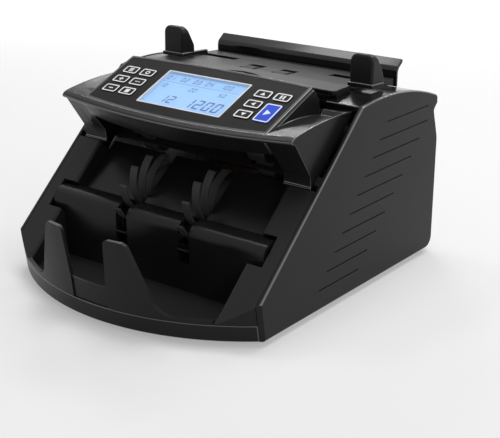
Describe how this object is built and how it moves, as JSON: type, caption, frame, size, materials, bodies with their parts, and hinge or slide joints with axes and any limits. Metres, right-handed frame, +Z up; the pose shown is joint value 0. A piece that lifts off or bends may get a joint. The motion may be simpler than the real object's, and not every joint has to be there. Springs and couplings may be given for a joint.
{
  "type": "banknote counting machine",
  "caption": "Desktop banknote counter with a tilted console hood, top hopper with sliding note guides, and a stacking tray with stop fingers.",
  "frame": {"origin": "on the floor, under the middle of the machine's bounding box", "axes": "+X the user's right, -Y the front with the tray, +Z up"},
  "size_m": [0.24, 0.2826, 0.174],
  "materials": {
    "bezel_grey": "satin",
    "board_green": "solder mask",
    "casing_black": "satin moulded",
    "casing_gloss": "gloss moulded",
    "copper_core": "laminated",
    "hood_black": "satin moulded",
    "key_black": "satin film",
    "key_blue": "satin film",
    "lcd_backlight": "lit",
    "lcd_glass": "clear",
    "lcd_white": "matte",
    "motor_metal": "plain",
    "panel_charcoal": "printed film",
    "rubber_black": "matte",
    "rubber_grey": "matte",
    "steel": "plain",
    "white_plastic": "moulded",
    "zinc_plate": "zinc plated"
  },
  "bodies": {
    "casing": {"base_pan": "casing_black", "chassis_plates": "zinc_plate", "control_boards": "board_green", "cross_rods": "steel", "drive_belts": "rubber_black", "front_apron": "casing_black", "hopper_floor": "casing_black", "hopper_plate": "casing_gloss", "hopper_support": "casing_gloss", "left_front_arm": "casing_black", "left_side_panel": "casing_black", "lower_guide_plate": "zinc_plate", "motors": "motor_metal", "power_inlet": "casing_black", "rear_cover": "casing_black", "rear_fittings": "casing_black", "rear_screws": "steel", "right_front_arm": "casing_black", "right_side_panel": "casing_black", "rubber_feet": "rubber_black", "separation_rollers": "rubber_grey", "shaft_bearings": "steel", "stacker_plate": "casing_black", "stop_plate": "casing_black", "top_cover": "casing_gloss", "transformer": "copper_core", "tray_floor": "casing_black"},
    "hood": {"hood_shell": "hood_black", "hood_hinge_pins": "steel", "console_bezel": "bezel_grey", "console_panel": "panel_charcoal", "lcd_frame": "lcd_white", "lcd_window": "lcd_glass", "lcd_module": "lcd_backlight", "hood_boards": "board_green", "upper_guide_plate": "zinc_plate"},
    "pinch": {"pinch_rollers": "white_plastic"},
    "feed": {"feed_shaft": "steel", "feed_rollers": "rubber_grey"},
    "transport": {"transport_rollers": "rubber_grey"},
    "pickup": {"pickup_rollers": "rubber_grey"},
    "stacker": {"stacker_shaft": "steel", "stacker_wheels": "rubber_black"},
    "main_rotor": {"main_motor_pulley": "steel"},
    "stacker_rotor": {"stacker_motor_pulley": "steel"},
    "left_guide": {"left_note_guide": "casing_black"},
    "right_guide": {"right_note_guide": "casing_black"},
    "power_switch": {"power_rocker": "casing_black"},
    "left_inner_bottom_key": {"left_inner_bottom_key": "key_black"},
    "left_inner_middle_key": {"left_inner_middle_key": "key_black"},
    "left_inner_top_key": {"left_inner_top_key": "key_black"},
    "left_outer_bottom_key": {"left_outer_bottom_key": "key_black"},
    "left_outer_middle_key": {"left_outer_middle_key": "key_black"},
    "left_outer_top_key": {"left_outer_top_key": "key_black"},
    "right_inner_bottom_key": {"right_inner_bottom_key": "key_black"},
    "right_inner_middle_key": {"right_inner_middle_key": "key_black"},
    "right_inner_top_key": {"right_inner_top_key": "key_black"},
    "right_outer_top_key": {"right_outer_top_key": "key_black"},
    "start_key": {"start_key": "key_blue"}
  },
  "joints": [
    {"name": "hood_hinge", "type": "hinge", "parent": "casing", "child": "hood", "pos_m": [0, -0.01913, 0.09875], "axis": [1, 0, 0], "range_deg": [0, 40]},
    {"name": "feed_spin", "type": "hinge", "parent": "casing", "child": "feed", "pos_m": [0, 0.03347, 0.11486], "axis": [1, 0, 0], "continuous": true},
    {"name": "main_motor_spin", "type": "hinge", "parent": "casing", "child": "main_rotor", "pos_m": [0, 0.09534, 0.044], "axis": [1, 0, 0], "continuous": true},
    {"name": "transport_spin", "type": "hinge", "parent": "casing", "child": "transport", "pos_m": [0, 0.00239, 0.0969], "axis": [1, 0, 0], "continuous": true},
    {"name": "pickup_spin", "type": "hinge", "parent": "casing", "child": "pickup", "pos_m": [0, 0.06935, 0.13105], "axis": [1, 0, 0], "continuous": true},
    {"name": "pinch_spin", "type": "hinge", "parent": "hood", "child": "pinch", "pos_m": [0, -0.01082, 0.11111], "axis": [1, 0, 0], "continuous": true},
    {"name": "stacker_spin", "type": "hinge", "parent": "casing", "child": "stacker", "pos_m": [0, -0.03465, 0.056], "axis": [1, 0, 0], "continuous": true},
    {"name": "stacker_motor_spin", "type": "hinge", "parent": "casing", "child": "stacker_rotor", "pos_m": [0, 0.01935, 0.034], "axis": [1, 0, 0], "continuous": true},
    {"name": "right_guide_slide", "type": "slide", "parent": "casing", "child": "right_guide", "axis": [-1, 0, 0], "range_m": [0, 0.034]},
    {"name": "left_guide_slide", "type": "slide", "parent": "casing", "child": "left_guide", "axis": [1, 0, 0], "range_m": [0, 0.034]},
    {"name": "power_switch_rock", "type": "hinge", "parent": "casing", "child": "power_switch", "pos_m": [-0.042, 0.13434, 0.032], "axis": [0, 0, -1], "range_deg": [0, 12]},
    {"name": "left_inner_bottom_key_press", "type": "slide", "parent": "hood", "child": "left_inner_bottom_key", "axis": [0, 0.3827, -0.9239], "range_m": [0, 0.0006], "stiffness_N_per_m": 400},
    {"name": "left_inner_middle_key_press", "type": "slide", "parent": "hood", "child": "left_inner_middle_key", "axis": [0, 0.3827, -0.9239], "range_m": [0, 0.0006], "stiffness_N_per_m": 400},
    {"name": "left_inner_top_key_press", "type": "slide", "parent": "hood", "child": "left_inner_top_key", "axis": [0, 0.3827, -0.9239], "range_m": [0, 0.0006], "stiffness_N_per_m": 400},
    {"name": "left_outer_bottom_key_press", "type": "slide", "parent": "hood", "child": "left_outer_bottom_key", "axis": [0, 0.3827, -0.9239], "range_m": [0, 0.0006], "stiffness_N_per_m": 400},
    {"name": "left_outer_middle_key_press", "type": "slide", "parent": "hood", "child": "left_outer_middle_key", "axis": [0, 0.3827, -0.9239], "range_m": [0, 0.0006], "stiffness_N_per_m": 400},
    {"name": "left_outer_top_key_press", "type": "slide", "parent": "hood", "child": "left_outer_top_key", "axis": [0, 0.3827, -0.9239], "range_m": [0, 0.0006], "stiffness_N_per_m": 400},
    {"name": "right_inner_bottom_key_press", "type": "slide", "parent": "hood", "child": "right_inner_bottom_key", "axis": [0, 0.3827, -0.9239], "range_m": [0, 0.0006], "stiffness_N_per_m": 400},
    {"name": "right_inner_middle_key_press", "type": "slide", "parent": "hood", "child": "right_inner_middle_key", "axis": [0, 0.3827, -0.9239], "range_m": [0, 0.0006], "stiffness_N_per_m": 400},
    {"name": "right_inner_top_key_press", "type": "slide", "parent": "hood", "child": "right_inner_top_key", "axis": [0, 0.3827, -0.9239], "range_m": [0, 0.0006], "stiffness_N_per_m": 400},
    {"name": "right_outer_top_key_press", "type": "slide", "parent": "hood", "child": "right_outer_top_key", "axis": [0, 0.3827, -0.9239], "range_m": [0, 0.0006], "stiffness_N_per_m": 400},
    {"name": "start_key_press", "type": "slide", "parent": "hood", "child": "start_key", "axis": [0, 0.3827, -0.9239], "range_m": [0, 0.0006], "stiffness_N_per_m": 400}
  ],
  "couplings": [
    {"joint": "main_motor_spin", "follows": "feed_spin", "ratio": 1.75},
    {"joint": "transport_spin", "follows": "feed_spin", "ratio": 1},
    {"joint": "pickup_spin", "follows": "feed_spin", "ratio": 1},
    {"joint": "pinch_spin", "follows": "feed_spin", "ratio": -1.1111},
    {"joint": "stacker_motor_spin", "follows": "stacker_spin", "ratio": 1.5}
  ]
}
